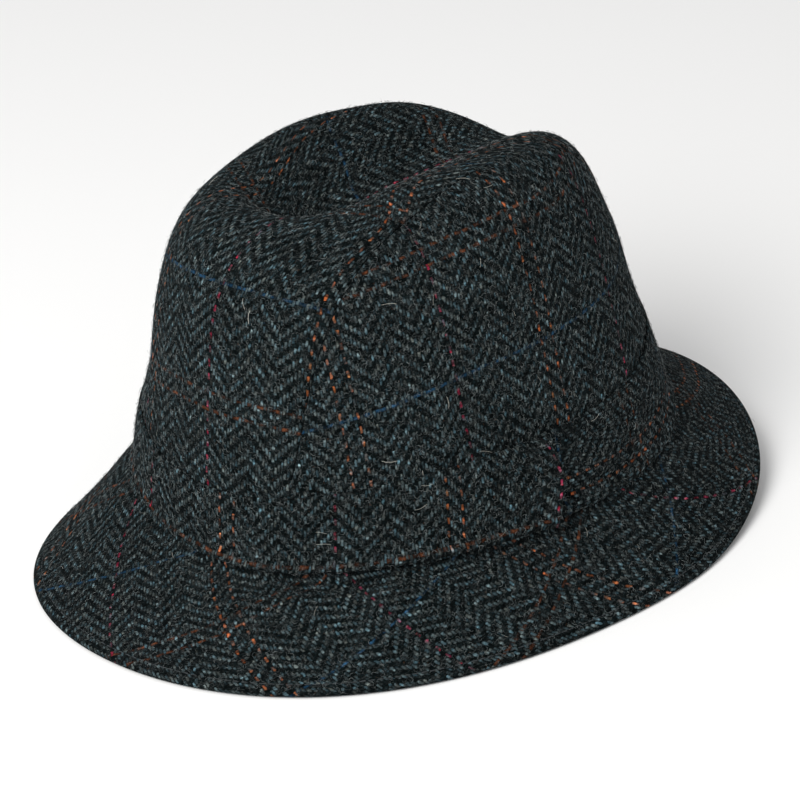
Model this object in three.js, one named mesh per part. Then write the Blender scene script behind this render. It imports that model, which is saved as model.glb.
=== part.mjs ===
import * as THREE from "three";

// A soft tweed trilby in millimetres. The front is -Y, the wearer's left +X, and the brim's edge is on Z = 0.

// Head opening and walls
const HEAD_HALF_WIDTH = 83;
const HEAD_HALF_LENGTH = 99.5;
const CROWN_WALL = 3;
const BAND_WALL = 2;
const BRIM_WALL = 3;
const GAP = 0.35;

// Join of crown and brim: its mean height over the brim's edge, and its oval's bulge at the quarters
const JOIN_HEIGHT = 35;
const JOIN_SQUARENESS = 0.053;
// The join dips and rises as it goes round, as shares of its height
const JOIN_WAVES = [
  { waves: 1, front: -0.16, left: 0 },
  { waves: 2, front: 0.04, left: -0.07 },
  { waves: 3, front: -0.13, left: 0 },
];

// Brim: half sizes of its edge, narrower back, fuller quarters, turned-up back and the sag of its slope
const BRIM_HALF_WIDTH = 113;
const BRIM_HALF_LENGTH = 151.5;
const BRIM_BACK_NARROWING = 0.013;
const BRIM_SQUARENESS = 0.029;
const BRIM_BACK_RISE = 18.5;
const BRIM_BACK_START = 0.25;
const BRIM_SAG = 2;
const BRIM_EDGE_HEIGHT = 2.6;
const BRIM_EDGE_ROUND = 0.7;
const BRIM_EDGE_FLAT = 2.2;

// Crown: height over the join before the crease, and the shift and the climb of its top to the back
const CROWN_HEIGHT = 121.5;
const CROWN_TOP_SHIFT = -3;
const CROWN_TOP_SLOPE = 0.034;
// How the wall leans in and how full its wall and shoulder are, on each side of the crown
const CROWN_SIDES = [
  { side: "front", lean: 0.07, wall: 5.7, shoulder: 4.2 },
  { side: "flank", lean: 0.27, wall: 4.2, shoulder: 6.1 },
  { side: "back", lean: 0.27, wall: 6.3, shoulder: 6.3 },
];

// Centre crease of the crown. Its ends are shares of the crown's half length.
const CREASE_DEPTH = 23.5;
const CREASE_HALF_WIDTH = 24;
const CREASE_SHIFT = -5;
const CREASE_FRONT = -0.56;
const CREASE_BACK = 0.74;
const CREASE_FADE_LENGTH = 7;
const CREASE_FRONT_DEEPENING = 0.18;

// Half width of the centre panel as shares of the crown's, from its front end over the top to its back end
const PANEL_SEAM = [
  { along: 0, half: 0.39 },
  { along: 0.15, half: 0.47 },
  { along: 0.35, half: 0.525 },
  { along: 0.5, half: 0.48 },
  { along: 0.65, half: 0.46 },
  { along: 1, half: 0.4 },
];

// Band: mean height, its fall at the front and rise on the wearer's left, and its lapped end in degrees
const BAND_HEIGHT = 29.5;
const BAND_FRONT_FALL = 3;
const BAND_LEFT_RISE = 2.5;
const BAND_END_TURN = 83;
const BAND_LAP_TURN = 12;
const BAND_RAMP_TURN = 20;

// Facets
const CENTRE_PANEL_STEPS = { along: 40, across: 10 };
const SIDE_PANEL_STEPS = { along: 30, up: 7 };
const BAND_STEPS = { along: 72, up: 3 };
const BRIM_STEPS = { round: 80, out: 5 };

const CROWN_HALF_WIDTH = HEAD_HALF_WIDTH + CROWN_WALL;
const CROWN_HALF_LENGTH = HEAD_HALF_LENGTH + CROWN_WALL;
const BAND_REACH = GAP + BAND_WALL;
const HALF_TURN = Math.PI;
const FULL_TURN = 2 * Math.PI;
const QUARTER_TURN = Math.PI / 2;
const { clamp, degToRad, lerp, smoothstep } = THREE.MathUtils;

// How finely slopes are taken, how finely and how far crossings are searched for, and what counts as nothing
const PROBE = 0.005;
const HALVINGS = 40;
const FARTHEST_RADIUS = 2;
const FARTHEST_TILT = 6;
const TINY = 1e-6;

// Closed wall between an outer and an inner grid of points, which may run round into itself by its first index
function wallGeometry(steps, pointAt, { round = false } = {}) {
  const [rows, columns] = steps.map(Math.round);
  const corners = [];
  const grid = [0, 1].map((side) => {
    const lines = [];
    for (let i = 0; i < (round ? rows : rows + 1); i += 1) {
      const line = [];
      for (let j = 0; j <= columns; j += 1) {
        line.push(pointAt(i / rows, j / columns, side));
      }
      lines.push(line);
    }
    return lines;
  });
  const at = (side, i, j) => grid[side][round ? i % rows : i][j];

  function triangle(a, b, c) {
    const flat = [[a, b], [b, c], [c, a]].some(([p, q]) => p.distanceTo(q) < TINY);
    if (!flat) {
      corners.push(...a, ...b, ...c);
    }
  }
  function quad(a, b, c, d) {
    triangle(a, b, c);
    triangle(a, c, d);
  }
  function rim(i0, j0, i1, j1) {
    quad(at(0, i1, j1), at(0, i0, j0), at(1, i0, j0), at(1, i1, j1));
  }

  for (let i = 0; i < rows; i += 1) {
    for (let j = 0; j < columns; j += 1) {
      quad(at(0, i, j), at(0, i + 1, j), at(0, i + 1, j + 1), at(0, i, j + 1));
      quad(at(1, i, j), at(1, i, j + 1), at(1, i + 1, j + 1), at(1, i + 1, j));
    }
    rim(i, 0, i + 1, 0);
    rim(i + 1, columns, i, columns);
  }
  if (!round) {
    for (let j = 0; j < columns; j += 1) {
      rim(rows, j, rows, j + 1);
      rim(0, j + 1, 0, j);
    }
  }
  const geometry = new THREE.BufferGeometry();
  geometry.setAttribute("position", new THREE.Float32BufferAttribute(corners, 3));
  geometry.computeVertexNormals();
  return geometry;
}

// Smooth value of one column of a table at a share along it
function tableValue(table, column, along) {
  const last = table.length - 1;
  const next = clamp(table.findIndex((row) => row.along > along), 1, last);
  const k = along >= 1 ? last : next;
  const slope = (n) => {
    const before = table[Math.max(n - 1, 0)];
    const after = table[Math.min(n + 1, last)];
    return (after[column] - before[column]) / (after.along - before.along);
  };
  const a = table[k - 1];
  const b = table[k];
  const length = b.along - a.along;
  const s = (along - a.along) / length;
  const rise = s * s * (3 - 2 * s);
  const leave = s * (1 - s) * (1 - s) * length * slope(k - 1);
  const arrive = s * s * (s - 1) * length * slope(k);
  return lerp(a[column], b[column], rise) + leave + arrive;
}

// The value between two ends at which a rising test turns true
function solve(low, high, isPast) {
  for (let k = 0; k < HALVINGS; k += 1) {
    const middle = (low + high) / 2;
    if (isPast(middle)) {
      high = middle;
    } else {
      low = middle;
    }
  }
  return (low + high) / 2;
}

// Height of the join at a turn from the front towards the wearer's left
function joinHeight(turn) {
  let share = 1;
  for (const { waves, front, left } of JOIN_WAVES) {
    share += front * Math.cos(waves * turn) + left * Math.sin(waves * turn);
  }
  return JOIN_HEIGHT * share;
}

function joinPoint(turn, outwards) {
  const fullness = 1 + JOIN_SQUARENESS * Math.sin(2 * turn) ** 2;
  return new THREE.Vector3(
    (HEAD_HALF_WIDTH + outwards) * Math.sin(turn) * fullness,
    -(HEAD_HALF_LENGTH + outwards) * Math.cos(turn) * fullness,
    joinHeight(turn),
  );
}

// Shares of the front, flank and back rows that make the crown's wall at a turn
function sideMix(turn) {
  const facing = Math.cos(turn);
  const shares = [Math.max(facing, 0) ** 2, Math.sin(turn) ** 2, Math.max(-facing, 0) ** 2];
  const mix = (column) => CROWN_SIDES.reduce((sum, row, k) => sum + row[column] * shares[k], 0);
  return { lean: mix("lean"), wall: mix("wall"), shoulder: mix("shoulder") };
}

// Reach and rise of the crown's wall as shares of its size, from climb 0 at the join to a quarter turn on top
function wallShares(turn, climb) {
  const { lean, wall, shoulder } = sideMix(turn);
  const up = Math.sin(climb);
  const out = Math.cos(climb);
  const radius = solve(0, FARTHEST_RADIUS, (r) => (r * up) ** wall + (r * out) ** shoulder > 1);
  const rise = radius * up;
  return { reach: radius * out * (1 - lean * rise), rise };
}

function creaseDepth(x, y, rise) {
  const fade = (distance) => 1 / (1 + Math.exp(-distance / CREASE_FADE_LENGTH));
  const length = CROWN_HALF_LENGTH;
  const ends = fade(y - CREASE_FRONT * length) * fade(CREASE_BACK * length - y);
  const across = Math.exp(-(((x - CREASE_SHIFT) / CREASE_HALF_WIDTH) ** 2));
  const deepening = 1 - (CREASE_FRONT_DEEPENING * y) / (-CREASE_FRONT * length);
  return CREASE_DEPTH * deepening * across * ends * rise;
}

// Outer surface of the crown in a direction from the middle of the head opening
function crownSurface(direction) {
  const turn = Math.atan2(direction.x, -direction.y);
  const climb = Math.asin(clamp(direction.z, 0, 1));
  const { reach, rise } = wallShares(turn, climb);
  const fullness = 1 + JOIN_SQUARENESS * Math.sin(2 * turn) ** 2 * (1 - rise);
  const x = CROWN_HALF_WIDTH * reach * fullness * Math.sin(turn);
  const y = -CROWN_HALF_LENGTH * reach * fullness * Math.cos(turn) + CROWN_TOP_SHIFT * rise;
  const foot = joinHeight(turn) + GAP;
  const top = JOIN_HEIGHT + CROWN_HEIGHT + CROWN_TOP_SLOPE * y;
  return new THREE.Vector3(x, y, lerp(foot, top, rise) - creaseDepth(x, y, rise));
}

// A point at a depth under the crown's outer surface. The foot is cut level.
function crownPoint(direction, depth) {
  const point = crownSurface(direction);
  const aside = new THREE.Vector3(-direction.y, direction.x, 0);
  if (aside.length() < TINY) {
    aside.set(1, 0, 0);
  }
  aside.normalize();
  const upwards = new THREE.Vector3().crossVectors(direction, aside).normalize();
  if (upwards.z < 0) {
    upwards.negate();
  }
  const slope = (tangent) => {
    const ahead = direction.clone().addScaledVector(tangent, PROBE).normalize();
    const behind = direction.clone().addScaledVector(tangent, -PROBE).normalize();
    return crownSurface(ahead).sub(crownSurface(behind));
  };
  const normal = new THREE.Vector3().crossVectors(slope(aside), slope(upwards));
  if (direction.z < TINY) {
    normal.z = 0;
  }
  normal.normalize();
  if (normal.dot(direction) < 0) {
    normal.negate();
  }
  return point.addScaledVector(normal, -depth);
}

function directionOf(turn, climb) {
  const level = Math.cos(climb);
  return new THREE.Vector3(level * Math.sin(turn), -level * Math.cos(turn), Math.sin(climb));
}

// The direction at a share of the way from front to back over the top where the crown's surface has a given x
function directionAcross(along, x) {
  const angle = HALF_TURN * along;
  const towards = (w) => new THREE.Vector3(w, -Math.cos(angle), Math.max(Math.sin(angle), 0)).normalize();
  return towards(solve(-FARTHEST_TILT, FARTHEST_TILT, (w) => crownSurface(towards(w)).x > x));
}

function seamHalfWidth(along) {
  return CROWN_HALF_WIDTH * tableValue(PANEL_SEAM, "half", along);
}

function centrePanel() {
  const { along, across } = CENTRE_PANEL_STEPS;
  return wallGeometry([along, across], (u, v, side) => {
    const x = (seamHalfWidth(u) - GAP / 2) * lerp(1, -1, v);
    return crownPoint(directionAcross(u, x), side * CROWN_WALL);
  });
}

// A D-shaped panel between its seam and the join, on the wearer's left (1) or right (-1)
function sidePanel(hand) {
  const seamAt = (along) => {
    const direction = directionAcross(along, hand * (seamHalfWidth(along) + GAP / 2));
    const turn = Math.atan2(direction.x, -direction.y);
    return { turn, climb: Math.asin(clamp(direction.z, 0, 1)) };
  };
  const front = seamAt(0).turn;
  const back = seamAt(1).turn;
  const { along, up } = SIDE_PANEL_STEPS;
  return wallGeometry([along, up], (u, v, side) => {
    const seam = seamAt(hand > 0 ? u : 1 - u);
    const foot = hand > 0 ? lerp(front, back, u) : lerp(back, front, u);
    const direction = directionOf(lerp(foot, seam.turn, v), seam.climb * v);
    return crownPoint(direction, side * CROWN_WALL);
  });
}

function bandHeight(turn) {
  return BAND_HEIGHT - BAND_FRONT_FALL * Math.cos(turn) + BAND_LEFT_RISE * Math.sin(turn);
}

// One strip round the foot of the crown, whose outer end laps over its inner end
function band() {
  const outerEnd = degToRad(BAND_END_TURN) + FULL_TURN;
  const innerEnd = degToRad(BAND_END_TURN - BAND_LAP_TURN);
  const rampEnd = innerEnd + FULL_TURN;
  const rampStart = rampEnd - degToRad(BAND_RAMP_TURN);
  const { along, up } = BAND_STEPS;
  return wallGeometry([along, up], (u, v, side) => {
    const turn = lerp(innerEnd, outerEnd, u);
    const lift = smoothstep(turn, rampStart, rampEnd) * BAND_REACH;
    const full = JOIN_HEIGHT + CROWN_HEIGHT - joinHeight(turn);
    const share = bandHeight(turn) / full;
    const top = solve(0, QUARTER_TURN, (climb) => wallShares(turn, climb).rise > share);
    const outwards = GAP + lift + (side === 0 ? BAND_WALL : 0);
    return crownPoint(directionOf(turn, top * v), -outwards);
  });
}

function brimEdge(turn) {
  const facing = Math.cos(turn);
  const fullness = 1 + BRIM_SQUARENESS * Math.sin(2 * turn) ** 2;
  const backness = Math.max(-facing - BRIM_BACK_START, 0) / (1 - BRIM_BACK_START);
  return new THREE.Vector3(
    BRIM_HALF_WIDTH * Math.sin(turn) * (1 + BRIM_BACK_NARROWING * facing) * fullness,
    -BRIM_HALF_LENGTH * facing * fullness,
    BRIM_BACK_RISE * backness ** 2,
  );
}

// Upper face of the brim's slope, from the join (0) to the edge (1)
function brimSlope(turn, out) {
  const join = joinPoint(turn, CROWN_WALL + BAND_REACH);
  const inwards = new THREE.Vector3(-Math.sin(turn), Math.cos(turn), 0);
  const edge = brimEdge(turn).addScaledVector(inwards, BRIM_EDGE_ROUND);
  edge.z += BRIM_EDGE_HEIGHT;
  const point = join.lerp(edge, out);
  point.z -= BRIM_SAG * 4 * out * (1 - out);
  return point;
}

function brimUnderside(turn, out) {
  const point = brimSlope(turn, out);
  const outwards = brimSlope(turn, out + PROBE).sub(brimSlope(turn, out - PROBE));
  const sideways = brimSlope(turn + PROBE, out).sub(brimSlope(turn - PROBE, out));
  const normal = new THREE.Vector3().crossVectors(outwards, sideways).normalize();
  if (normal.z < 0) {
    normal.negate();
  }
  return point.addScaledVector(normal, -BRIM_WALL);
}

// The brim has a level land under the crown and the band, a slope, and an edge whose foot is cut level
function brim() {
  const out = Math.round(BRIM_STEPS.out);
  const columns = out + 2;
  return wallGeometry([BRIM_STEPS.round, columns], (u, v, side) => {
    const turn = FULL_TURN * u;
    const column = Math.round((1 - v) * columns);
    const under = new THREE.Vector3(0, 0, -side * BRIM_WALL);
    if (column === 0) {
      return joinPoint(turn, 0).add(under);
    }
    if (column === 1) {
      return joinPoint(turn, CROWN_WALL + BAND_REACH).add(under);
    }
    const inwards = new THREE.Vector3(-Math.sin(turn), Math.cos(turn), 0);
    const flatEnd = brimEdge(turn).addScaledVector(inwards, BRIM_EDGE_FLAT);
    if (column === columns) {
      return side === 0 ? brimEdge(turn) : flatEnd;
    }
    const share = (column - 1) / out;
    if (side === 0) {
      return brimSlope(turn, share);
    }
    return share < 1 ? brimUnderside(turn, share) : flatEnd;
  }, { round: true });
}

const hat = new THREE.Group();

function addPiece(name, geometry, colour) {
  const material = new THREE.MeshStandardMaterial({ color: colour, roughness: 0.95, metalness: 0 });
  const piece = new THREE.Mesh(geometry, material);
  piece.name = name;
  hat.add(piece);
}

addPiece("crown_centre_panel", centrePanel(), 0x2c3a40);
addPiece("crown_left_panel", sidePanel(1), 0x2a373d);
addPiece("crown_right_panel", sidePanel(-1), 0x2a373d);
addPiece("band", band(), 0x283439);
addPiece("brim", brim(), 0x2b383e);

export default hat;
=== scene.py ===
"""A soft herringbone tweed trilby on a pale studio floor."""

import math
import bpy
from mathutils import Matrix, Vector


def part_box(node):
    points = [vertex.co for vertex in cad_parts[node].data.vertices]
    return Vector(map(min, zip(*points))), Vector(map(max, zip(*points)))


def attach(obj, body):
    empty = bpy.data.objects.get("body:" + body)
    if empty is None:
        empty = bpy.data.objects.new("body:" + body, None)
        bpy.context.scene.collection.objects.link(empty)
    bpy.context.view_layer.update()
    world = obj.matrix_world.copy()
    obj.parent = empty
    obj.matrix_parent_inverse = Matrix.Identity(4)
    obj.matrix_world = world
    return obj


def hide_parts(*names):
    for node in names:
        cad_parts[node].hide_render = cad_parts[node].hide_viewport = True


bl_info = {
    "name": "Tweed trilby",
    "version": (1, 0, 0),
    "blender": (4, 5, 0),
    "location": "3D View > Sidebar > Trilby",
    "description": "Makes a soft herringbone tweed trilby from its cut cloth pieces, with a plain studio",
    "category": "Add Mesh",
}

import bpy
import numpy as np
from bpy.props import FloatProperty, FloatVectorProperty, IntProperty, PointerProperty
from mathutils import Matrix, Vector

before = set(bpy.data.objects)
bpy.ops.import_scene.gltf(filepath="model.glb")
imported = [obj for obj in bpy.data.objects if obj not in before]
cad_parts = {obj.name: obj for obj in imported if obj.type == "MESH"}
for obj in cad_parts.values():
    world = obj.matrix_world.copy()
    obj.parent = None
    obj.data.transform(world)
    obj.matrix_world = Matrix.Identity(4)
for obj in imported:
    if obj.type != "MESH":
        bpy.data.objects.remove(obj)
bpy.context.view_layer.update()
BRIM_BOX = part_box("brim")

MM = 0.001
YARN = 1.27 * MM
FULL_TURN = 2 * math.pi

# The join of crown and brim rises and dips as it goes round: waves, share at the front, share at the left
JOIN_WAVES = ((1, -0.16, 0.0), (2, 0.04, -0.07), (3, -0.13, 0.0))

# Lean, wall fullness and shoulder fullness of the crown's front, flank and back
CROWN_SIDES = np.array([[0.07, 5.7, 4.2], [0.27, 4.2, 6.1], [0.27, 6.3, 6.3]])

# Half width of the centre panel as a share of the crown's, from its front foot over the top to its back foot
PANEL_SEAM = {"along": (0.0, 0.15, 0.35, 0.5, 0.65, 1.0), "half": (0.39, 0.47, 0.525, 0.48, 0.46, 0.4)}

# How far the cloth of the centre panel has shifted and closed up where it dips into the crease, in metres
CENTRE_DRAFT = {
    "along": (0.0, 0.085, 0.105, 0.127, 0.145, 0.175, 0.215, 0.26, 0.37),
    "shift": (0.003, 0.003, 0.004, 0.0085, 0.008, -0.006, -0.009, -0.003, 0.0),
    "close": (1.04, 1.05, 1.1, 1.22, 1.22, 1.1, 1.06, 1.0, 1.0),
}

# Where the brim's edge was pulled out or pushed in by hand: turn and spread in degrees, and how far in metres
BRIM_HAND_SHAPE = ((-72, 26, -0.0011), (20, 50, 0.0003), (70, 30, 0.0005), (104, 16, 0.0017), (146, 22, -0.0013))

# Where the band stands off the brim most: turn and spread in degrees, and the share elsewhere
SHADED_TURN = 52
SHADED_SPREAD = 42
SHADED_LEAST = 0.3

# Layers of curled fibres that lie on the cloth: curls to a yarn, place in the noise, tone and half width
CURLS = ((0.55, 51.0, 0.13, 0.011), (0.8, 77.0, 0.1, 0.014), (1.2, 29.0, 0.085, 0.018), (1.7, 37.0, 0.07, 0.022))

# Noise that sways the yarns: waves to a yarn, detail and width in yarns
YARN_SWAYS = ((0.06, 2.0, 2.6), (0.5, 1.0, 1.3), (2.2, 2.0, 1.15))

# Yarns to a stripe of the herringbone and to a check, and which yarns of a check are its single and double lines
STRIPE_YARNS = 8.0
CHECK_YARNS = 70.0
SINGLE_LINE = 0.0
DOUBLE_LINE = (33.0, 38.0)

# Distances from a cut edge at which the cloth has a line of points, in metres
EDGE_STATIONS = np.array([0.0, 0.1, 0.3, 0.6, 1.0, 1.5]) * MM

# Length and width over which the mesh of each cloth is counted out, in metres
CENTRE_SPAN = (0.372, 0.094)
SIDE_SPAN = (0.345, 0.127)
BAND_SPAN = (0.63, 0.0315)
BRIM_SPAN = (0.86, 0.05)
BAND_CROSS_STEP = 0.0013

# How far faces turn down at seams and edges, how uneven the cloth lies and how far stitches pull it in, in metres
SEAM_ROLL = 0.0007
SEAM_GAP = 0.00006
JOIN_ROLL = 0.0009
CROWN_UNEVENNESS = 0.0006
SHOULDER_FULLNESS = 0.0006
WALL_SLIMNESS = 0.0005
BRIM_UNEVENNESS = 0.0007
STITCH_DIP = 0.0003
STITCH_DIP_WIDTH = 0.0008
EDGE_PUFF = 0.00012
EDGE_PUFF_PLACE = 0.0024
EDGE_PUFF_WIDTH = 0.0013

# Form of the band, in metres: what it adds to the crown over it, its thinner top, its foot and its lap's free end
BAND_SWELL = 0.0006
BAND_THINNING = 0.0006
BAND_FOOT_FLARE = 0.0026
BAND_VALLEY = 0.0009
BAND_ROLL = 0.0009
BAND_UNEVENNESS = 0.00025
LAP_END_FLARE = 0.003
LAP_END_REACH = 0.011
LAP_END_DIP = 0.0009
INNER_END_DROP = 0.0022

# The lap in radians: how far the middle of its end bows out past its corners, the turn over which it does, the
# width of the dip past it, with the dip's place in widths, and where the inner end under it rises to full height
LAP_END_BOW = 0.06
LAP_BOW_TURN = 0.3
LAP_DIP_TURN = 0.05
LAP_DIP_PLACE = 0.6
INNER_END_ZONE = (-0.02, 0.05)

# Groove in the brim beside the band, as a depth in metres and a share of the slope, and how far it cuts under
JOIN_GROOVE = 0.0046
JOIN_GROOVE_SHARE = 0.15
JOIN_UNDERCUT = 0.0016

# The brim from the join outwards: points of the flat land in metres, and shares of the slope that the mesh has
LAND_STATIONS = np.array([0.0, 0.3, 0.9, 2.0, 3.6]) * MM
SLOPE_START = np.array([0.0, 0.008, 0.02])
SLOPE_EVEN_START = 0.03
SLOPE_END = 0.986
UNDER_END = 0.955
SLOPE_END_INSET = 0.0014

# Turned edge of the brim, in metres: reach of its bend above and below, place of its foot, and its lines of points
EDGE_BEND_UP = 0.0018
EDGE_BEND_DOWN = 0.0031
EDGE_FOOT_INSET = 0.0022
EDGE_FOOT_LIFT = 0.0001
EDGE_LINES = 10
UNDER_LEAST_HEIGHT = 0.0002

# How the weave lies on each cloth, in metres: where it starts, and how it is eased, skewed, bowed and gathered
CENTRE_WEAVE = {"start": 0.102, "bow": 3, "bow_place": 0.01}
SIDE_WEAVE = {"left_lead": 0.0424, "right_lead": 0.021, "start": 0.0645, "ease": 1.06, "skew": 0.1, "bow": 0.4}
BAND_WEAVE = {"lead": 0.0263, "start": 0.042, "ease": 1.022, "gather": 0.0058, "gather_reach": 0.05}
BRIM_WEAVE = {"lead": 0.035, "bow": 0.007, "bow_place": 0.03, "bow_reach": 0.275}
BRIM_WEAVE_TURN = ((0.628, -0.777), (0.692, 0.722))
BRIM_MIDDLE = 0.6

# Turns in degrees at the band: where its weave is counted from, where its cloth is pieced (from its inner end to
# here it is cut the other way of the weave) and where the turned weave is counted from
BAND_WEAVE_TURN = 380
BAND_SEAM_TURN = 195
BAND_TURNED_TURN = 88
BAND_TURNED_START = 38 * YARN - 0.012

# Searches, and the small angle or share at which slopes are measured
NEWTON_START = 1.6
NEWTON_STEPS = 14
HALVINGS = 30
WIDEST_SHARE = 6.0
PROBE = 0.005
TINY = 1e-6

# The cloth's unevenness: count of waves, and seed and wave length in metres of each piece
SOFT_WAVES = 9
CROWN_WAVES = (4, 0.045)
BAND_WAVES = (8, 0.05)
BRIM_WAVES = (15, 0.06)

# Where the crown's wall starts to vary over the band, swells there, is fuller at the shoulder and slimmer below it
FREE_ZONE = (0.002, 0.02)
SWELL_START = (-0.0005, 0.0035)
SWELL_END = (0.006, 0.04)
SHOULDER_ZONE = (0.115, 0.135)
SLIM_ZONE = (0.09, 0.12)

# Shares of the band's height: its flared foot, the valley over it and its thinner top
BAND_FOOT_ZONE = (0.0, 0.16)
BAND_VALLEY_SHARE = 0.2
BAND_VALLEY_WIDTH = 0.09
BAND_TOP_ZONE = (0.55, 1.0)

# Shares of the brim's slope between which its unevenness comes and goes
BRIM_FREE_START = (0.03, 0.3)
BRIM_FREE_END = (0.78, 1.0)

# Fine lines that lengths are measured along: steps over a seam, and turns and climbs in degrees over a flank
FINE_STEPS = 1200
FLANK_TURNS = (-60, 240, 601)
FLANK_CLIMBS = (0, 90, 361)

# Stage: floor and camera in metres, and each light's name, degrees aside of the camera and over the floor, distance,
# height of its aim, size and tint
FLOOR_HALF = 7.0
FLOOR_DROP = 0.0003
CAMERA_AIM = 0.04
CAMERA_SHIFT = (-0.0063, 0.0317)
LIGHTS = (
    ("key_light", -30, 39, 2.3, 0.08, 1.2, (1.0, 0.985, 0.96)),
    ("fill_light", -20, 29, 2.0, 0.06, 0.8, (0.95, 0.98, 1.0)),
)

# Slot of each cloth
CLOTHS = {
    "crown_centre_cloth": "crown_tweed",
    "crown_left_cloth": "crown_tweed",
    "crown_right_cloth": "crown_tweed",
    "band_cloth": "band_tweed",
    "brim_cloth": "brim_tweed",
}

# Tone of the cloth of each slot
TONES = {"crown_tweed": 1.0, "band_tweed": 0.92, "brim_tweed": 1.0}


def length_property(name, description, default):
    return FloatProperty(name=name, description=description, default=default, unit="LENGTH")


def angle_property(name, description, degrees):
    return FloatProperty(name=name, description=description, default=math.radians(degrees), subtype="ANGLE")


def power_property(name, description, default):
    return FloatProperty(name=name, description=description, default=default, unit="POWER")


def colour_property(name, description, default):
    return FloatVectorProperty(name=name, description=description, default=default, subtype="COLOR")


class TrilbySizes(bpy.types.PropertyGroup):
    """Sizes of the hat"""

    head_half_width: length_property("Head half width", "Half the opening's width", 0.083)
    head_half_length: length_property("Head half length", "Half the opening's length", 0.0995)
    crown_wall: length_property("Crown cloth", "Thickness of the crown's cloth", 0.003)
    band_wall: length_property("Band cloth", "Thickness of the band's cloth", 0.002)
    brim_wall: length_property("Brim cloth", "Thickness of the brim's two layers", 0.003)
    gap: length_property("Gap", "Gap between sewn pieces", 0.00035)
    join_height: length_property("Join height", "Mean height of the join over the table", 0.035)
    crown_height: length_property("Crown height", "Height of the crown over the join", 0.1215)
    crease_depth: length_property("Crease depth", "Depth of the centre crease", 0.0235)
    crease_half_width: length_property("Crease half width", "Half width of the centre crease", 0.024)
    band_height: length_property("Band height", "Mean height of the band", 0.0295)
    brim_half_width: length_property("Brim half width", "Half the brim's width", BRIM_BOX[1].x)
    brim_half_length: length_property("Brim half length", "Half the brim's length", BRIM_BOX[1].y)
    brim_back_rise: length_property("Back rise", "How far the back of the brim is turned up", 0.0185)
    mesh_step: length_property("Mesh step", "Size of the cloth's mesh squares", 0.0018)


class TrilbyCloth(bpy.types.PropertyGroup):
    """Yarns of the cloth, its stitches and its nap"""

    light_yarn: colour_property("Light yarn", "Colour of the lengthwise yarn", (0.0252, 0.0356, 0.0379))
    dark_yarn: colour_property("Dark yarn", "Colour of the crosswise yarn", (0.0024, 0.0042, 0.0046))
    red_yarn: colour_property("Red yarn", "Colour of the single check lines", (0.115, 0.009, 0.022))
    orange_yarn: colour_property("Orange yarn", "Colour of the double check lines", (0.15, 0.046, 0.017))
    blue_yarn: colour_property("Blue yarn", "Colour of the single crosswise lines", (0.0135, 0.05, 0.1))
    stitch_length: length_property("Stitch length", "Length of one stitch of the brim's edge", 0.0032)
    stitch_inset: length_property("Stitch inset", "Distance of the stitches from the brim's edge", 0.0048)
    nap_per_piece: IntProperty(
        name="Nap fibres", description="Short fibres on each piece of cloth", default=5600, min=0
    )
    hairs_per_piece: IntProperty(
        name="Pale hairs", description="Coarse pale hairs on each piece of cloth", default=20, min=0
    )


class TrilbyStage(bpy.types.PropertyGroup):
    """Camera and light"""

    azimuth: angle_property("Azimuth", "Camera's turn from the front", 46.283)
    elevation: angle_property("Elevation", "Camera's height angle", 25.015)
    roll: angle_property("Roll", "Camera's tilt about its axis", -1.164)
    distance: length_property("Distance", "Camera to hat", 1.5)
    lens: FloatProperty(name="Lens", description="Focal length in millimetres", default=180.28)
    floor_colour: colour_property("Floor", "Colour of the floor", (0.93, 0.93, 0.93))
    key_power: power_property("Key light", "Power of the large key light", 44.0)
    fill_power: power_property("Fill light", "Power of the fill light", 11.0)
    sky_strength: FloatProperty(name="Surround", description="Strength of the white surround", default=0.56)


def table_value(table, column, along):
    """Smooth value of one column of a table at shares along it."""
    places = np.array(table["along"])
    values = np.array(table[column])
    before = np.concatenate([[0], np.arange(len(places) - 1)])
    after = np.concatenate([np.arange(1, len(places)), [len(places) - 1]])
    slopes = (values[after] - values[before]) / (places[after] - places[before])
    k = np.clip(np.searchsorted(places, along, side="right"), 1, len(places) - 1)
    length = places[k] - places[k - 1]
    s = (along - places[k - 1]) / length
    rise = s * s * (3 - 2 * s)
    leave = s * (1 - s) ** 2 * length * slopes[k - 1]
    arrive = s * s * (s - 1) * length * slopes[k]
    return values[k - 1] + (values[k] - values[k - 1]) * rise + leave + arrive


def unit(vectors):
    return vectors / np.maximum(np.linalg.norm(vectors, axis=-1, keepdims=True), 1e-12)


def smooth_step(value, low, high):
    s = np.clip((value - low) / (high - low), 0, 1)
    return s * s * (3 - 2 * s)


def hill(distance, width):
    """A soft hump, 1 high in its middle."""
    return np.exp(-((distance / width) ** 2))


def turned_from(turn, degrees):
    """Angles from a place in degrees, from minus half a turn to half a turn."""
    return (turn - math.radians(degrees) + math.pi) % FULL_TURN - math.pi


def halved(low, high, is_past):
    """The places between low and high from which on is_past holds."""
    for _ in range(HALVINGS):
        middle = (low + high) / 2
        past = is_past(middle)
        high = np.where(past, middle, high)
        low = np.where(past, low, middle)
    return (low + high) / 2


def arc_lengths(points, axis):
    """Distance along a grid of points from its first line."""
    steps = np.linalg.norm(np.diff(points, axis=axis), axis=-1)
    start = np.zeros_like(np.take(steps, [0], axis=axis))
    return np.concatenate([start, np.cumsum(steps, axis=axis)], axis=axis)


def stations(length, step):
    """Distances across a strip of cloth, close together at its two edges and even between them."""
    near = EDGE_STATIONS
    count = max(round((length - 2 * near[-1]) / step), 2)
    middle = np.linspace(near[-1], length - near[-1], count + 1)
    return np.concatenate([near[:-1], middle, (length - near[:-1])[::-1]])


def edge_roll(distance, radius):
    """How far a cloth's face drops as it turns down to its edge."""
    short = np.clip(radius - distance, 0, radius)
    return radius - np.sqrt(radius**2 - short**2)


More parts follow.
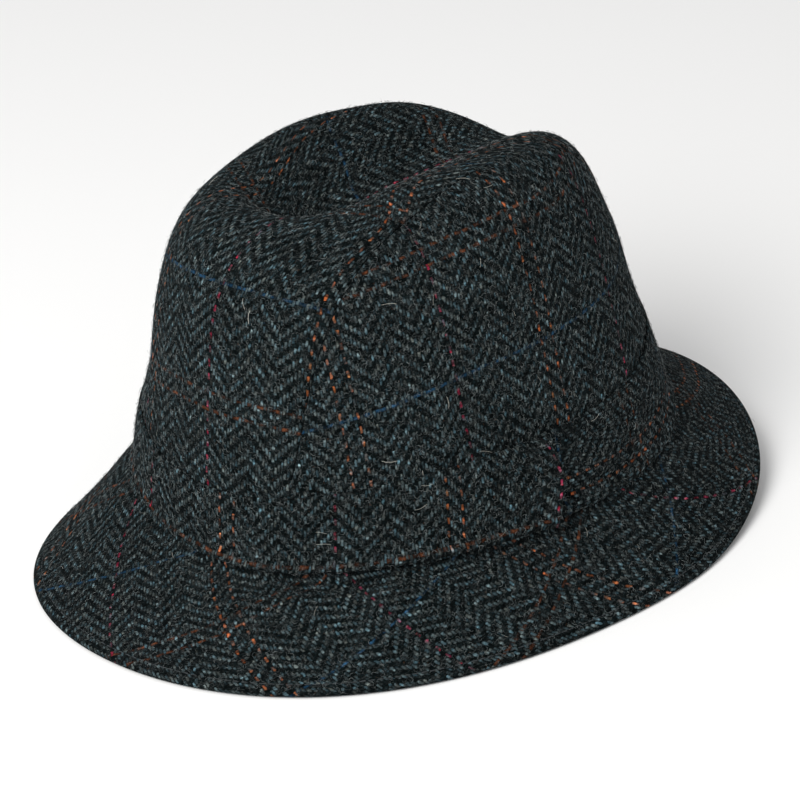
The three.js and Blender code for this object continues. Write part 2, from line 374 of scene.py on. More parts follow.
def soft_waves(points, seed, size):
    """Gentle unevenness of hand-blocked cloth, about -1 to 1, from a few long waves."""
    chance = np.random.default_rng(seed)
    total = np.zeros(points.shape[:-1])
    for _ in range(SOFT_WAVES):
        heading = unit(chance.normal(size=3))
        wave = size * chance.uniform(0.6, 1.6)
        total += np.sin(points @ heading * (FULL_TURN / wave) + chance.uniform(0, FULL_TURN))
    return total * 2 / SOFT_WAVES


class HatForm:
    """The surfaces of the hat, in metres, that its pieces of cloth follow."""

    top_shift = -0.003
    top_slope = 0.034
    join_squareness = 0.053
    crease_shift = -0.005
    crease_front = -0.56
    crease_back = 0.74
    crease_fade = 0.007
    crease_front_deepening = 0.18
    band_front_fall = 0.003
    band_left_rise = 0.0025
    band_end_turn = math.radians(83)
    band_lap_turn = math.radians(12)
    band_ramp_turn = math.radians(20)
    brim_back_narrowing = 0.013
    brim_squareness = 0.029
    brim_back_start = 0.25
    brim_sag = 0.002
    brim_edge_height = 0.0026
    brim_edge_round = 0.0007

    def __init__(self, sizes):
        self.sizes = sizes
        self.half_width = sizes.head_half_width + sizes.crown_wall
        self.half_length = sizes.head_half_length + sizes.crown_wall
        self.band_reach = sizes.gap + sizes.band_wall

    def join_height(self, turn):
        share = 1.0
        for waves, front, left in JOIN_WAVES:
            share = share + front * np.cos(waves * turn) + left * np.sin(waves * turn)
        return self.sizes.join_height * share

    def join_point(self, turn, outwards):
        full = 1 + self.join_squareness * np.sin(2 * turn) ** 2
        x = (self.sizes.head_half_width + outwards) * np.sin(turn) * full
        y = -(self.sizes.head_half_length + outwards) * np.cos(turn) * full
        return np.stack(np.broadcast_arrays(x, y, self.join_height(turn)), -1)

    def wall_shares(self, turn, climb):
        """Reach and rise of the crown's wall as shares of its size."""
        facing = np.cos(turn)
        shares = np.stack([np.maximum(facing, 0) ** 2, np.sin(turn) ** 2, np.maximum(-facing, 0) ** 2], -1)
        lean, wall, shoulder = np.moveaxis(shares @ CROWN_SIDES, -1, 0)
        up, out = np.maximum(np.sin(climb), 1e-9), np.maximum(np.cos(climb), 1e-9)
        radius = np.full(np.broadcast(turn, climb).shape, NEWTON_START)
        for _ in range(NEWTON_STEPS):
            high = (radius * up) ** wall
            wide = (radius * out) ** shoulder
            radius = radius - (high + wide - 1) * radius / (wall * high + shoulder * wide)
        rise = radius * up
        return radius * out * (1 - lean * rise), rise

    def crease(self, x, y, rise):
        def fade(distance):
            return 1 / (1 + np.exp(-distance / self.crease_fade))

        length = self.half_length
        ends = fade(y - self.crease_front * length) * fade(self.crease_back * length - y)
        across = hill(x - self.crease_shift, self.sizes.crease_half_width)
        deepening = 1 - self.crease_front_deepening * y / (-self.crease_front * length)
        return self.sizes.crease_depth * deepening * across * ends * rise

    def crown(self, turn, climb):
        """Outer surface of the crown at a turn and a climb."""
        reach, rise = self.wall_shares(turn, climb)
        full = 1 + self.join_squareness * np.sin(2 * turn) ** 2 * (1 - rise)
        x = self.half_width * reach * full * np.sin(turn)
        y = -self.half_length * reach * full * np.cos(turn) + self.top_shift * rise
        foot = self.join_height(turn) + self.sizes.gap
        top = self.sizes.join_height + self.sizes.crown_height + self.top_slope * y
        return np.stack([x, y, foot + (top - foot) * rise - self.crease(x, y, rise)], -1)

    def crown_towards(self, direction):
        direction = unit(direction)
        turn = np.arctan2(direction[..., 0], -direction[..., 1])
        return self.crown(turn, np.arcsin(np.clip(direction[..., 2], 0, 1)))

    def crown_face(self, direction):
        """Points of the crown's outer surface and the directions in which it faces."""
        level = np.stack([-direction[..., 1], direction[..., 0], np.zeros_like(direction[..., 0])], -1)
        flat = np.linalg.norm(level, axis=-1) < TINY
        level[flat] = (1, 0, 0)
        aside = unit(level)
        upwards = unit(np.cross(direction, aside))
        upwards = np.where(upwards[..., 2:] < 0, -upwards, upwards)
        slopes = []
        for tangent in (aside, upwards):
            ahead = self.crown_towards(direction + tangent * PROBE)
            slopes.append(ahead - self.crown_towards(direction - tangent * PROBE))
        normal = np.cross(*slopes)
        normal[..., 2] = np.where(direction[..., 2] < TINY, 0, normal[..., 2])
        normal = unit(normal)
        outwards = np.sum(normal * direction, -1, keepdims=True) >= 0
        return self.crown_towards(direction), np.where(outwards, normal, -normal)

    def direction_across(self, along, x):
        """The direction at a share of the way over the top where the crown's surface has a given x."""
        angle = math.pi * along
        front, up, x = np.broadcast_arrays(-np.cos(angle), np.maximum(np.sin(angle), 0), x)

        def is_past(across):
            return self.crown_towards(np.stack([across, front, up], -1))[..., 0] > x

        widest = np.full(x.shape, WIDEST_SHARE)
        return unit(np.stack([halved(-widest, widest, is_past), front, up], -1))

    def seam_half_width(self, along):
        return self.half_width * table_value(PANEL_SEAM, "half", along)

    def seam(self, along, hand, gap):
        """Turn and climb of a seam between the centre panel and a side panel."""
        direction = self.direction_across(along, hand * (self.seam_half_width(along) + gap))
        turn = np.arctan2(direction[..., 0], -direction[..., 1])
        return turn, np.arcsin(np.clip(direction[..., 2], 0, 1))

    def band_height(self, turn):
        return self.sizes.band_height - self.band_front_fall * np.cos(turn) + self.band_left_rise * np.sin(turn)

    def band_top_climb(self, turn, lowered=0.0):
        height = self.band_height(turn) - lowered
        share = height / (self.sizes.join_height + self.sizes.crown_height - self.join_height(turn))

        def is_past(climb):
            return self.wall_shares(turn, climb)[1] > share

        return halved(np.zeros_like(turn), np.full_like(turn, math.pi / 2), is_past)

    def shaded_side(self, turn):
        """How far the band stands off the brim: 1 round the wearer's left front, and least away from there."""
        away = turned_from(turn, SHADED_TURN)
        return SHADED_LEAST + (1 - SHADED_LEAST) * hill(away, math.radians(SHADED_SPREAD))

    def brim_edge(self, turn):
        facing = np.cos(turn)
        full = 1 + self.brim_squareness * np.sin(2 * turn) ** 2
        back = np.maximum(-facing - self.brim_back_start, 0) / (1 - self.brim_back_start)
        x = self.sizes.brim_half_width * np.sin(turn) * (1 + self.brim_back_narrowing * facing) * full
        y = -self.sizes.brim_half_length * facing * full
        for centre, spread, out in BRIM_HAND_SHAPE:
            pull = out * hill(turned_from(turn, centre), math.radians(spread))
            x = x + pull * np.sin(turn)
            y = y - pull * np.cos(turn)
        return np.stack([x, y, self.sizes.brim_back_rise * back**2], -1)

    def brim_slope(self, turn, out):
        """Upper face of the brim's slope, from the join (0) to the edge (1)."""
        shaded = self.shaded_side(turn)
        join = self.join_point(turn, self.sizes.crown_wall + self.band_reach - JOIN_UNDERCUT * shaded)
        inwards = np.stack([-np.sin(turn), np.cos(turn), np.zeros_like(turn)], -1)
        edge = self.brim_edge(turn) + inwards * self.brim_edge_round
        edge[..., 2] += self.brim_edge_height
        point = join + (edge - join) * out[..., None]
        point[..., 2] -= self.brim_sag * 4 * out * (1 - out)
        point[..., 2] -= JOIN_GROOVE * shaded * hill(out, JOIN_GROOVE_SHARE)
        return point

    def brim_face(self, turn, out):
        """Points of the brim's slope and the directions in which it faces."""
        outwards = self.brim_slope(turn, out + PROBE) - self.brim_slope(turn, out - PROBE)
        sideways = self.brim_slope(turn + PROBE, out) - self.brim_slope(turn - PROBE, out)
        normal = unit(np.cross(outwards, sideways))
        return self.brim_slope(turn, out), np.where(normal[..., 2:] < 0, -normal, normal)


def directions_of(turn, climb):
    level = np.cos(climb)
    return np.stack([level * np.sin(turn), -level * np.cos(turn), np.sin(climb)], -1)


def even_shares(point_at, count):
    """Shares from 0 to 1 that are even distances apart along a curve."""
    fine = np.linspace(0, 1, FINE_STEPS + 1)
    lengths = arc_lengths(point_at(fine), 0)
    return np.interp(np.linspace(0, lengths[-1], count + 1), lengths, fine)


def new_object(name, data):
    made = bpy.data.objects.new(name, data)
    bpy.context.scene.collection.objects.link(made)
    return made


def mesh_piece(name, points, faces, cloth, outward):
    """A new object from points, four-cornered faces, cloth coordinates of their corners and a mark on outer faces."""
    first, second = points[faces[:, 0]], points[faces[:, 1]]
    third, fourth = points[faces[:, 2]], points[faces[:, 3]]
    turned = np.sum(np.cross(first, second) * third) + np.sum(np.cross(first, third) * fourth) < 0
    if turned:
        faces = faces[:, ::-1]
        cloth = cloth[:, ::-1]
    mesh = bpy.data.meshes.new(name)
    mesh.vertices.add(len(points))
    mesh.vertices.foreach_set("co", points.astype(np.float32).ravel())
    mesh.loops.add(faces.size)
    mesh.loops.foreach_set("vertex_index", faces.astype(np.int32).ravel())
    mesh.polygons.add(len(faces))
    mesh.polygons.foreach_set("loop_start", np.arange(0, faces.size, 4, dtype=np.int32))
    mesh.update(calc_edges=True)
    mesh.validate()
    layer = mesh.uv_layers.new(name="cloth")
    layer.uv.foreach_set("vector", cloth.astype(np.float32).ravel())
    mark = mesh.attributes.new("outward", "BOOLEAN", "FACE")
    mark.data.foreach_set("value", outward)
    mesh.shade_smooth()
    return new_object(name, mesh)


def cloth_wall(name, outer, inner, cloth):
    """A closed wall of cloth between an outer and an inner grid of points."""
    rows, columns = outer.shape[:2]
    number = np.arange(rows * columns).reshape(rows, columns)
    under = number + rows * columns

    def quads(*corners):
        return np.stack([corner.ravel() for corner in corners], -1)

    top = quads(number[:-1, :-1], number[1:, :-1], number[1:, 1:], number[:-1, 1:])
    border = (
        (number[0], under[0]),
        (number[:, -1], under[:, -1]),
        (number[-1][::-1], under[-1][::-1]),
        (number[:, 0][::-1], under[:, 0][::-1]),
    )
    rims = [quads(line[:-1], line[1:], below[1:], below[:-1]) for line, below in border]
    bottom = top[:, ::-1] + rows * columns
    faces = np.concatenate([top, bottom, *rims])
    points = np.concatenate([outer.reshape(-1, 3), inner.reshape(-1, 3)])
    flat = np.concatenate([cloth.reshape(-1, 2), cloth.reshape(-1, 2)])
    outward = np.zeros(len(faces), bool)
    outward[: len(top)] = True
    return mesh_piece(name, points, faces, flat[faces], outward)


def cloth_ring(name, points, cloth, upper):
    """A closed ring of cloth from sections (rows) that run round themselves (columns). cloth has one row more."""
    rows, columns = points.shape[:2]
    i, j = np.meshgrid(np.arange(rows), np.arange(columns), indexing="ij")
    ahead, beside = (i + 1) % rows, (j + 1) % columns
    number = np.arange(rows * columns).reshape(rows, columns)
    corners = [(i, j), (ahead, j), (ahead, beside), (i, beside)]
    faces = np.stack([number[a, b].ravel() for a, b in corners], -1)
    flat = np.stack([cloth[a, b].reshape(-1, 2) for a, b in ((i, j), (i + 1, j), (i + 1, beside), (i, beside))], 1)
    return mesh_piece(name, points.reshape(-1, 3), faces, flat, upper[j].ravel())

class Graph:
    """Adds nodes to one tree and links them."""

    def __init__(self, tree):
        self.tree = tree

    def node(self, kind, inputs=(), **settings):
        node = self.tree.nodes.new(kind)
        for key, value in settings.items():
            setattr(node, key, value)
        for key, value in dict(inputs).items():
            self.feed(node.inputs[key], value)
        return node

    def feed(self, socket, value):
        if isinstance(value, bpy.types.NodeSocket):
            self.tree.links.new(value, socket)
        else:
            socket.default_value = value

    def math(self, operation, *values):
        return self.node("ShaderNodeMath", enumerate(values), operation=operation).outputs[0]

    def times(self, first, second, plus=None):
        if plus is None:
            return self.math("MULTIPLY", first, second)
        return self.math("MULTIPLY_ADD", first, second, plus)

    def plus(self, first, second):
        return self.math("ADD", first, second)

    def centred(self, value):
        return self.math("SUBTRACT", value, 0.5)

    def arch(self, share):
        """0 at shares 0 and 1, and 1 half way."""
        return self.math("ABSOLUTE", self.math("SINE", self.times(share, math.pi)))

    def between(self, value, low, high, at_low=0.0, at_high=1.0, **settings):
        """The value's place between low and high, clamped."""
        inputs = {"Value": value, 1: low, 2: high, 3: at_low, 4: at_high}
        return self.node("ShaderNodeMapRange", inputs, **settings).outputs[0]

    def clamped(self, value):
        return self.node("ShaderNodeClamp", {0: value}).outputs[0]

    def blend(self, factor, first, second):
        return self.node("ShaderNodeMix", {0: factor, 2: first, 3: second}, data_type="FLOAT").outputs[0]

    def mix(self, factor, first, second, blend="MIX"):
        inputs = {0: factor, 6: first, 7: second}
        return self.node("ShaderNodeMix", inputs, data_type="RGBA", blend_type=blend).outputs[2]

    def dimmed(self, colour, factor):
        return self.mix(1.0, colour, self.vector(factor, factor, factor), "MULTIPLY")

    def vector(self, x, y, z=0.0):
        return self.node("ShaderNodeCombineXYZ", {0: x, 1: y, 2: z}).outputs[0]

    def noise(self, vector, scale, detail=2.0, roughness=0.5):
        inputs = {"Vector": vector, "Scale": scale, "Detail": detail, "Roughness": roughness}
        return self.node("ShaderNodeTexNoise", inputs).outputs["Fac"]

    def object_place(self):
        return self.node("ShaderNodeTexCoord").outputs["Object"]

    def surface(self, inputs):
        shader = self.node("ShaderNodeBsdfPrincipled", inputs)
        self.node("ShaderNodeOutputMaterial", {"Surface": shader.outputs[0]})


def new_material(name):
    """An empty material and the graph of its tree."""
    material = bpy.data.materials.new(name)
    material.use_nodes = True
    material.node_tree.nodes.clear()
    return material, Graph(material.node_tree)


def new_group(name, kind, inputs, outputs):
    """A node group's graph and its given values, from tables of its sockets: name, kind and default."""
    tree = bpy.data.node_groups.new(name, kind)
    for in_out, table in (("INPUT", inputs), ("OUTPUT", outputs)):
        for title, sort, default in table:
            socket = tree.interface.new_socket(name=title, in_out=in_out, socket_type=f"NodeSocket{sort}")
            if default is not None:
                socket.default_value = default
    g = Graph(tree)
    return g, g.node("NodeGroupInput").outputs


def herringbone_group(cloth):
    """Colour and height of a broken herringbone twill with a check of coloured lines, from counts of yarns."""
    yarns = ("light_yarn", "dark_yarn", "red_yarn", "orange_yarn", "blue_yarn")
    inputs = [("Cloth", "Vector", None)]
    inputs += [(yarn.replace("_", " ").capitalize(), "Color", (*getattr(cloth, yarn), 1.0)) for yarn in yarns]
    inputs += [("Check repeat", "Float", CHECK_YARNS), ("Wobble", "Float", 0.55)]
    inputs += [("Mottle", "Float", 0.8), ("Slant", "Float", 0.12)]
    outputs = [("Colour", "Color", None), ("Height", "Float", None)]
    g, given = new_group("Herringbone cloth", "ShaderNodeTree", inputs, outputs)
    split = g.node("ShaderNodeSeparateXYZ", {0: given["Cloth"]}).outputs

    def wobbled(axis, shift):
        place = g.vector(g.plus(split[0], shift), split[1], shift)
        total = split[axis]
        for scale, detail, amount in YARN_SWAYS:
            sway = g.centred(g.noise(place, scale, detail))
            total = g.times(g.times(sway, amount), given["Wobble"], total)
        return total

    def cloth_noise(layer, scale, detail):
        return g.noise(g.vector(split[0], split[1], layer), scale, detail)

    def yarn_noise(x, x_scale, y, y_scale, layer, detail=2.0, roughness=0.5):
        place = g.vector(g.times(x, x_scale), g.times(y, y_scale), layer)
        return g.noise(place, 1.0, detail, roughness)

    u, v = wobbled(0, 3.7), wobbled(1, 41.3)
    end, pick = g.math("FLOOR", u), g.math("FLOOR", v)
    across_end, across_pick = g.math("FRACT", u), g.math("FRACT", v)
    odd = g.math("FLOORED_MODULO", g.math("FLOOR", g.math("DIVIDE", end, STRIPE_YARNS)), 2.0)
    heading = g.times(odd, -2.0, 1.0)
    step = g.plus(pick, g.times(heading, end))
    step = g.math("FLOORED_MODULO", g.times(odd, 2.0, step), 4.0)
    light_up = g.math("LESS_THAN", step, 1.5)

    # Place along each float, from 0 to 1
    light_along = g.math("DIVIDE", g.plus(step, across_pick), 2.0)
    forward = g.plus(g.math("SUBTRACT", step, 2.0), across_end)
    backward = g.plus(g.math("SUBTRACT", 3.0, step), across_end)
    dark_along = g.math("DIVIDE", g.blend(odd, forward, backward), 2.0)

    def float_height(across, along):
        slant = g.times(heading, given["Slant"])
        leaning = g.clamped(g.times(g.centred(along), slant, across))
        round_yarn = g.math("SQRT", g.arch(leaning))
        bow = g.math("POWER", g.arch(along), 0.45)
        return g.times(round_yarn, g.times(bow, 0.45, 0.55))

    light_height = float_height(across_end, light_along)
    dark_height = float_height(across_pick, dark_along)
    height = g.blend(light_up, g.times(dark_height, 0.8), light_height)

    # Yarns of the check, which fade and break from place to place
    faded = g.between(cloth_noise(61.0, 0.5, 1.0), 0.36, 0.58, 0.08)

    def is_line(number, place):
        count = g.math("FLOORED_MODULO", number, given["Check repeat"])
        return g.times(g.math("COMPARE", count, place, 0.5), faded)

    def is_double(number):
        return g.plus(*[is_line(number, place) for place in DOUBLE_LINE])

    light = g.mix(is_line(end, SINGLE_LINE), given["Light yarn"], given["Red yarn"])
    light = g.mix(is_double(end), light, given["Orange yarn"])
    dark = g.mix(g.times(is_line(pick, SINGLE_LINE), 0.8), given["Dark yarn"], given["Blue yarn"])
    dark = g.mix(g.times(is_double(pick), 0.4), dark, given["Orange yarn"])

    # Each yarn is unevenly spun and dyed
    def mottled(colour, mottle, spread):
        amount = g.times(given["Mottle"], spread)
        return g.dimmed(colour, g.math("EXPONENT", g.times(g.centred(mottle), amount)))

    tint = g.between(yarn_noise(end, 3.13, v, 0.3, 23.0, 1.0), 0.32, 0.68)
    light = g.mix(1.0, light, g.mix(tint, (0.72, 1.0, 1.16, 1.0), (1.24, 1.0, 0.88, 1.0)), "MULTIPLY")
    light = mottled(light, yarn_noise(end, 7.31, v, 0.55, 2.0), 9.5)
    dark = mottled(dark, yarn_noise(u, 0.55, pick, 7.31, 9.0), 7.0)

    # Painted shade: only the back of a float keeps its lit colour. Its flanks are painted darker towards the hollows
    # between the yarns, as the shade that falls there.
    back = g.between(height, 0.38, 0.94, interpolation_type="SMOOTHSTEP")
    # Colour of the painted shade in the hollows between the yarns
    hollow_shade = g.mix(0.75, dark, (0.0021, 0.003, 0.0031, 1.0))
    light = g.mix(back, hollow_shade, light)
    dark = g.mix(g.times(back, 0.8, 0.2), hollow_shade, dark)
    colour = g.mix(light_up, dark, light)
    long_strand = yarn_noise(u, 9.0, v, 2.2, 5.0, roughness=0.6)
    cross_strand = yarn_noise(u, 2.2, v, 9.0, 8.0, roughness=0.6)
    strand = g.blend(light_up, cross_strand, long_strand)
    strand = g.times(g.centred(cloth_noise(83.0, 0.16, 2.0)), 0.35, strand)
    colour = g.dimmed(colour, g.math("EXPONENT", g.times(g.centred(strand), 4.6)))

    # Curled fibres that lie on the cloth, and stray coloured flecks
    for scale, layer, tone, width in CURLS:
        curl = g.math("ABSOLUTE", g.centred(cloth_noise(layer, scale, 0.6)))
        line = g.between(curl, 0.25 * width, width, 1.0, 0.0)
        here = g.between(cloth_noise(layer + 9.0, 0.45, 1.0), 0.5, 0.62)
        colour = g.mix(g.times(g.times(line, here), 0.6), colour, (tone * 0.9, tone, tone, 1.0))
    fleck = yarn_noise(u, 0.9, v, 0.9, 17.0, 1.0)
    colour = g.mix(g.times(g.math("GREATER_THAN", fleck, 0.74), 0.5), colour, (0.036, 0.018, 0.01, 1.0))
    colour = g.mix(g.times(g.math("LESS_THAN", fleck, 0.25), 0.5), colour, (0.01, 0.023, 0.036, 1.0))

    g.node("NodeGroupOutput", {"Colour": colour, "Height": g.times(g.centred(strand), 0.45, height)})
    return g.tree


def tweed_material(name, group, tone):
    """Herringbone tweed on a piece's own cloth coordinates."""
    material, g = new_material(name)
    weave = g.node("ShaderNodeGroup", node_tree=group)
    g.feed(weave.inputs["Cloth"], g.node("ShaderNodeUVMap", uv_map="cloth").outputs[0])
    place = g.object_place()
    wear = g.times(g.noise(place, 34.0, 3.0), 0.5, 0.75)
    height = g.times(g.noise(place, 2600.0, 2.0, 0.7), 0.35, weave.outputs["Height"])
    bump = g.node("ShaderNodeBump", {"Strength": 0.75, "Distance": 0.0006, "Height": height})
    g.surface(
        {
            "Base Color": g.dimmed(weave.outputs["Colour"], g.times(wear, tone)),
            "Roughness": 0.95,
            "Specular IOR Level": 0.015,
            "Sheen Weight": 0.007,
            "Sheen Roughness": 0.45,
            "Sheen Tint": (0.75, 0.85, 0.9, 1.0),
            "Normal": bump.outputs[0],
        }
    )
    return material


def strand_material(name, low, high, scale):
    """Wool strands whose colour goes from one tone to another from place to place."""
    material, g = new_material(name)
    place = g.object_place()
    share = g.clamped(g.times(g.noise(place, scale, 1.0), 3.0, -1.0))
    bump = g.node("ShaderNodeBump", {"Strength": 0.3, "Distance": 0.0001, "Height": g.noise(place, 4000.0, 1.0)})
    colour = g.mix(share, (*low, 1.0), (*high, 1.0))
    g.surface({"Base Color": colour, "Roughness": 0.75, "Specular IOR Level": 0.3, "Normal": bump.outputs[0]})
    return material


def plain_material(name, colour, roughness):
    """A plain painted surface with a faint unevenness."""
    material, g = new_material(name)
    cloud = g.times(g.noise(g.object_place(), 1.5, 2.0), 0.01, 0.995)
    g.surface({"Base Color": g.dimmed((*colour, 1.0), cloud), "Roughness": roughness})
    return material


def bowed_tube(g, steps, radius, start, middle, end):
    """A capped tube along a bowed line, with as many sides as its line has steps."""
    inputs = {"Resolution": steps, "Start": start, "Middle": middle, "End": end}
    line = g.node("GeometryNodeCurveQuadraticBezier", inputs).outputs[0]
    section = g.node("GeometryNodeCurvePrimitiveCircle", {"Resolution": steps, "Radius": radius}).outputs[0]
    inputs = {"Curve": line, "Profile Curve": section, "Fill Caps": True}
    return g.node("GeometryNodeCurveToMesh", inputs).outputs[0]


def real_in(g, instances, material):
    """The meshes of instances, in a material."""
    real = g.node("GeometryNodeRealizeInstances", {0: instances}).outputs[0]
    return g.node("GeometryNodeSetMaterial", {"Geometry": real, "Material": material}).outputs[0]


def nap_tree():
    """Geometry nodes that set short fibres and a few coarse hairs on the outer faces of a cloth."""
    inputs = (
        ("Geometry", "Geometry", None),
        ("Fibres per square metre", "Float", 100000.0),
        ("Fibre length", "Float", 0.0021),
        ("Fibre radius", "Float", 0.000035),
        ("Fibre lift", "Float", 0.0003),
        ("Fibre curl", "Float", 0.6),
        ("Hairs per square metre", "Float", 800.0),
        ("Hair length", "Float", 0.006),
        ("Hair radius", "Float", 0.000042),
        ("Hair lift", "Float", 0.0005),
        ("Hair curl", "Float", 0.09),
        ("Seed", "Int", 1),
        ("Fibre material", "Material", None),
        ("Hair material", "Material", None),
    )
    g, given = new_group("Nap", "GeometryNodeTree", inputs, (("Geometry", "Geometry", None),))
    outward = g.node("GeometryNodeInputNamedAttribute", {"Name": "outward"}, data_type="BOOLEAN").outputs[0]

    def strands(kind, seed):
        spread = g.node(
            "GeometryNodeDistributePointsOnFaces",
            {
                "Mesh": given["Geometry"],
                "Selection": outward,
                "Density": given[f"{kind}s per square metre"],
                "Seed": g.plus(given["Seed"], float(seed)),
            },
        )
        length, lift = given[f"{kind} length"], given[f"{kind} lift"]
        sway = g.times(length, given[f"{kind} curl"])
        middle = g.vector(g.times(length, 0.5), sway, g.times(lift, 1.6))
        end = g.vector(g.times(length, 0.8), g.times(sway, -0.3), lift)
        scale = g.node("FunctionNodeRandomValue", {2: 0.5, 3: 1.35, "Seed": seed}, data_type="FLOAT")
        placed = g.node(
            "GeometryNodeInstanceOnPoints",
            {
                "Points": spread.outputs["Points"],
                "Instance": bowed_tube(g, 3, given[f"{kind} radius"], (0.0, 0.0, -0.0001), middle, end),
                "Rotation": spread.outputs["Rotation"],
                "Scale": scale.outputs[1],
            },
        )
        spin = g.node(
            "FunctionNodeRandomValue",
            {0: (-0.15, -0.15, 0.0), 1: (0.15, 0.15, FULL_TURN), "Seed": seed + 5},
            data_type="FLOAT_VECTOR",
        )
        turned = g.node(
            "GeometryNodeRotateInstances",
            {"Instances": placed.outputs[0], "Rotation": spin.outputs[0], "Local Space": True},
        )
        return real_in(g, turned.outputs[0], given[f"{kind} material"])

    both = g.node("GeometryNodeJoinGeometry")
    for kind, seed in (("Fibre", 11), ("Hair", 23)):
        g.feed(both.inputs[0], strands(kind, seed))
    g.node("NodeGroupOutput", {0: both.outputs[0]})
    return g.tree


def stitch_tree():
    """Geometry nodes that lay a row of stitches along a line of points."""
    inputs = (
        ("Geometry", "Geometry", None),
        ("Stitch length", "Float", 0.0032),
        ("Thread radius", "Float", 0.0002),
        ("Share of thread", "Float", 0.84),
        ("Material", "Material", None),
    )
    g, given = new_group("Stitches", "GeometryNodeTree", inputs, (("Geometry", "Geometry", None),))
    line = g.node("GeometryNodeMeshToCurve", {"Mesh": given["Geometry"]}).outputs[0]
    even = g.node("GeometryNodeResampleCurve", {"Curve": line, "Length": given["Stitch length"]}, mode="LENGTH")
    tangent = g.node("GeometryNodeInputTangent").outputs[0]
    facing = g.node("GeometryNodeInputNamedAttribute", {"Name": "facing"}, data_type="FLOAT_VECTOR").outputs[0]
    along = g.node("FunctionNodeAlignRotationToVector", {"Vector": tangent}, axis="X").outputs[0]
    upright = g.node(
        "FunctionNodeAlignRotationToVector", {"Rotation": along, "Vector": facing}, axis="Z", pivot_axis="X"
    )
    half = g.times(g.times(given["Stitch length"], given["Share of thread"]), 0.5)
    sink = g.times(given["Thread radius"], -1.3)
    start, end = g.vector(g.times(half, -1.0), 0.0, sink), g.vector(half, 0.0, sink)
    middle = g.vector(0.0, 0.0, g.times(given["Thread radius"], 2.6))
    stitch = bowed_tube(g, 5, given["Thread radius"], start, middle, end)
    placed = g.node(
        "GeometryNodeInstanceOnPoints",
        {"Points": even.outputs[0], "Instance": stitch, "Rotation": upright.outputs[0]},
    )
    g.node("NodeGroupOutput", {0: real_in(g, placed.outputs[0], given["Material"])})
    return g.tree


def applied(source, tree, values, name):
    """A new object with the plain mesh that a tree makes from a source object, which is then removed."""
    modifier = source.modifiers.new("Work", "NODES")
    modifier.node_group = tree
    named = {item.name: item.identifier for item in tree.interface.items_tree if item.in_out == "INPUT"}
    for key, value in values.items():
        modifier[named[key]] = value
    depsgraph = bpy.context.evaluated_depsgraph_get()
    mesh = bpy.data.meshes.new_from_object(source.evaluated_get(depsgraph), depsgraph=depsgraph)
    mesh.name = name
    result = new_object(name, mesh)
    bpy.data.objects.remove(source, do_unlink=True)
    if not mesh.polygons:
        raise RuntimeError(f"{name} has no faces")
    return result


def cloth_material(slot):
    """The tweed of one slot, made when it is first asked for."""
    name = slot.replace("tweed", "herringbone_tweed")
    known = bpy.data.materials.get(name)
    if known:
        return known
    group = bpy.data.node_groups.get("Herringbone cloth")
    if group is None:
        group = herringbone_group(bpy.context.scene.trilby_cloth)
    return tweed_material(name, group, TONES[slot])


def finish_cloth(piece, node):
    """Gives a piece of cloth its finish and its place in the frame, and hides the part it was cut from."""
    slot = CLOTHS[piece.name]
    piece.data.materials.append(cloth_material(slot))
    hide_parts(node)
    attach(piece, "root")


def crown_wall(form, face, normal, roll):
    """Outer and inner points of the crown's cloth. It is gently uneven above the band."""
    turn = np.arctan2(face[..., 0], -face[..., 1])
    height = face[..., 2] - form.join_height(turn) - form.band_height(turn)
    free = smooth_step(height, *FREE_ZONE)
    swell = smooth_step(height, *SWELL_START) * (1 - smooth_step(height, *SWELL_END))
    wave = soft_waves(face, *CROWN_WAVES) * CROWN_UNEVENNESS * free + BAND_SWELL * swell
    wave += SHOULDER_FULLNESS * smooth_step(face[..., 2], *SHOULDER_ZONE)
    wave -= WALL_SLIMNESS * free * (1 - smooth_step(face[..., 2], *SLIM_ZONE))
    moved = face + normal * wave[..., None]
    outer = moved - normal * roll[..., None]
    inner = moved - normal * (form.sizes.crown_wall - roll * 0.6)[..., None]
    return outer, inner


def centre_panel(form):
    step = form.sizes.mesh_step
    span, width = CENTRE_SPAN

    def middle_line(along):
        return form.crown_towards(form.direction_across(along, np.zeros_like(along)))

    shares = even_shares(middle_line, round(span / step))
    across = stations(width, step)
    along, side = np.meshgrid(shares, 2 * across / across[-1] - 1, indexing="ij")
    half = form.seam_half_width(along) - SEAM_GAP
    face, normal = form.crown_face(form.direction_across(along, half * side))
    roll = edge_roll((1 - np.abs(side)) * half, SEAM_ROLL)
    outer, inner = crown_wall(form, face, normal, roll)

    weave = CENTRE_WEAVE
    middle = np.argmin(np.abs(side[0]))
    up = arc_lengths(face, 0)
    out = arc_lengths(face, 1)
    out = out - out[:, middle : middle + 1]
    u = (out - table_value(CENTRE_DRAFT, "shift", up)) * table_value(CENTRE_DRAFT, "close", up)
    v = up + weave["bow"] * (out - weave["bow_place"]) ** 2 - weave["start"]
    return cloth_wall("crown_centre_cloth", outer, inner, np.stack([u, v], -1) / YARN)


def flank_lengths(form, hand):
    """Tables of the distance round the crown from its side and of the distance up from its foot."""
    turns = np.radians(np.linspace(*FLANK_TURNS))
    climbs = np.radians(np.linspace(*FLANK_CLIMBS))
    turn, climb = np.meshgrid(turns, climbs, indexing="ij")
    surface = form.crown(hand * turn, climb)
    round_it = arc_lengths(surface, 0)
    round_it -= round_it[len(turns) // 2]
    return turns, climbs, round_it, arc_lengths(surface, 1)


